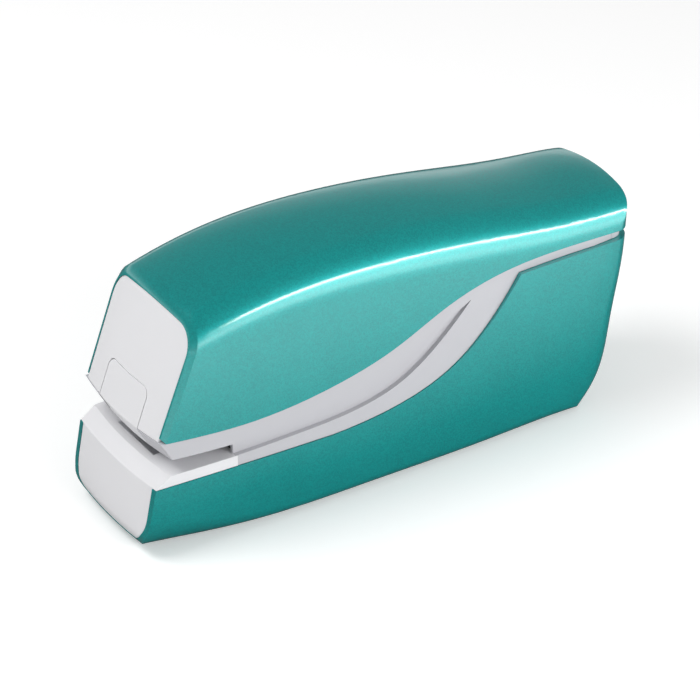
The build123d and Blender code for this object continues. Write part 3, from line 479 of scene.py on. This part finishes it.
class STAPLER_OT_feet(bpy.types.Operator):
    """Rubber feet and the case screws"""

    bl_idname = "stapler.feet"
    bl_label = "Feet and screws"

    def execute(self, context):
        dress("feet")
        dress("case_screws")
        return {"FINISHED"}


# brightness of the floor that glossy surfaces see: a painted shadow beside the stapler, and the plain floor
# further out
FLOOR_PAINTED_SHADOW = (0.10, 0.10, 0.10)
FLOOR_FAR = (0.95, 0.95, 0.95)
# distance to the right at which the painted shadow on the reflected floor starts to fade, and the distance
# over which it fades
PAINTED_SHADOW_FADE = (0.045, 0.075)
# height of the direction, brightness that glossy surfaces see there
HORIZON = ((0.0, 1.0), (0.10, 0.90), (0.18, 0.40), (0.40, 0.16), (1.0, 0.12))
# name and power property, width and height, position, point aimed at, seen in reflections
LAMPS = (
    ("key", (0.5, 0.5), (-0.20, -0.48, 0.82), (0, 0, 0.03), False),
    ("fill", (0.5, 0.5), (0.72, 0.05, 0.28), (0, 0, 0.04), False),
    ("strip", (0.6, 0.04), (0.62, 0.36, 0.34), (0, 0, 0.06), True),
    ("panel", (0.7, 0.34), (0.64, 0.37, 0.17), (0, 0, 0.17), True),
)
FLOOR_SIZE = 6.0
CAMERA_PLACE = (0.67953, -0.43707, 0.52493)
SENSOR_WIDTH = 36
NEAREST_SEEN = 0.01


def lamp(name, size, power, position, target, glossy):
    clear_selection()
    bpy.ops.object.light_add(type="AREA", location=position)
    light = bpy.context.object
    light.name = name
    light.data.shape = "RECTANGLE"
    light.data.size, light.data.size_y = size
    light.data.energy = power
    light.rotation_mode = "QUATERNION"
    light.rotation_quaternion = (Vector(target) - Vector(position)).to_track_quat("-Z", "Y")
    light.visible_glossy = glossy
    light.visible_camera = False
    return light


class STAPLER_OT_studio(bpy.types.Operator):
    """Pale floor, softboxes, even sky and the camera"""

    bl_idname = "stapler.studio"
    bl_label = "Studio"

    def execute(self, context):
        studio = context.scene.stapler_studio
        colours = context.scene.stapler_colours
        clear_selection()
        bpy.ops.mesh.primitive_plane_add(size=FLOOR_SIZE, location=(0, 0, 0))
        floor = context.object
        floor.name = "floor"
        give(floor, self.floor_material(colours.floor, studio.lift))
        for name, size, position, target, glossy in LAMPS:
            lamp(name, size, getattr(studio, name), position, target, glossy)
        self.sky(context, studio.sky)
        bpy.ops.object.camera_add()
        camera = context.object
        camera.name = "camera"
        camera.location = CAMERA_PLACE
        a, e = math.radians(studio.azimuth), math.radians(studio.elevation)
        back = Vector((math.sin(a) * math.cos(e), -math.cos(a) * math.cos(e), math.sin(e)))
        camera.rotation_mode = "QUATERNION"
        camera.rotation_quaternion = (-back).to_track_quat("-Z", "Y")
        camera.data.lens = studio.lens
        camera.data.sensor_width = SENSOR_WIDTH
        camera.data.clip_start = NEAREST_SEEN
        context.scene.camera = camera
        context.scene.view_settings.view_transform = "Standard"
        return {"FINISHED"}

    def floor_material(self, colour, lift):
        """White to the eye, with the shadow left on it; glossy rays see a painted shadow beside the stapler"""
        f = Finish("studio_floor")
        path = f.add("ShaderNodeLightPath")
        seen = Value(f, path.outputs["Is Camera Ray"])
        mirrored = Value(f, path.outputs["Is Glossy Ray"])
        # glossy rays see the floor dark beside the stapler: a painted shadow that the shells reflect
        painted_shadow_floor = f.between(FLOOR_PAINTED_SHADOW, FLOOR_FAR, (f.axis(0) - PAINTED_SHADOW_FADE[0]) / PAINTED_SHADOW_FADE[1])
        f.set(base_color=f.between(colour, painted_shadow_floor, mirrored), roughness=0.9)
        f.set(emission_color=seen * lift, emission_strength=1.0)
        return f.material

    def sky(self, context, strength):
        world = bpy.data.worlds.new("studio")
        context.scene.world = world
        world.use_nodes = True
        tree = world.node_tree
        nodes, link = tree.nodes, tree.links.new
        even = nodes["Background"]
        even.inputs["Strength"].default_value = strength
        even.inputs["Color"].default_value = (1, 1, 1, 1)
        white = nodes.new("ShaderNodeBackground")
        white.inputs["Color"].default_value = (1, 1, 1, 1)
        mirrored = nodes.new("ShaderNodeBackground")
        coords = nodes.new("ShaderNodeTexCoord")
        parts = nodes.new("ShaderNodeSeparateXYZ")
        ramp = nodes.new("ShaderNodeValToRGB")
        link(coords.outputs["Generated"], parts.inputs[0])
        link(parts.outputs["Z"], ramp.inputs[0])
        link(ramp.outputs[0], mirrored.inputs["Color"])
        stops = ramp.color_ramp.elements
        while len(stops) < len(HORIZON):
            stops.new(1.0)
        for stop, (height, level) in zip(stops, HORIZON):
            stop.position = height
            stop.color = (level, level, level, 1)
        path = nodes.new("ShaderNodeLightPath")
        reflected = nodes.new("ShaderNodeMixShader")
        seen = nodes.new("ShaderNodeMixShader")
        link(path.outputs["Is Glossy Ray"], reflected.inputs[0])
        link(even.outputs[0], reflected.inputs[1])
        link(mirrored.outputs[0], reflected.inputs[2])
        link(path.outputs["Is Camera Ray"], seen.inputs[0])
        link(reflected.outputs[0], seen.inputs[1])
        link(white.outputs[0], seen.inputs[2])
        link(seen.outputs[0], nodes["World Output"].inputs["Surface"])


OPERATORS = (
    STAPLER_OT_shells,
    STAPLER_OT_frames,
    STAPLER_OT_fronts,
    STAPLER_OT_magazine,
    STAPLER_OT_drive,
    STAPLER_OT_electronics,
    STAPLER_OT_feet,
    STAPLER_OT_studio,
)


class STAPLER_PT_panel(bpy.types.Panel):
    """Sidebar panel that lists the stapler's operators"""

    bl_idname = "STAPLER_PT_panel"
    bl_label = "Electric stapler"
    bl_space_type = "VIEW_3D"
    bl_region_type = "UI"
    bl_category = "Stapler"

    def draw(self, context):
        for operator in OPERATORS:
            self.layout.operator(operator.bl_idname)


GROUPS = {
    "stapler_colours": StaplerColours,
    "stapler_sizes": StaplerSizes,
    "stapler_studio": StaplerStudio,
}


def register():
    for kind in (*GROUPS.values(), *OPERATORS, STAPLER_PT_panel):
        bpy.utils.register_class(kind)
    for name, kind in GROUPS.items():
        setattr(bpy.types.Scene, name, PointerProperty(type=kind))


def unregister():
    for name in GROUPS:
        delattr(bpy.types.Scene, name)
    for kind in reversed((*GROUPS.values(), *OPERATORS, STAPLER_PT_panel)):
        bpy.utils.unregister_class(kind)


def main():
    register()
    for operator in OPERATORS:
        group, name = operator.bl_idname.split(".")
        getattr(getattr(bpy.ops, group), name)()


if __name__ == "__main__":
    main()
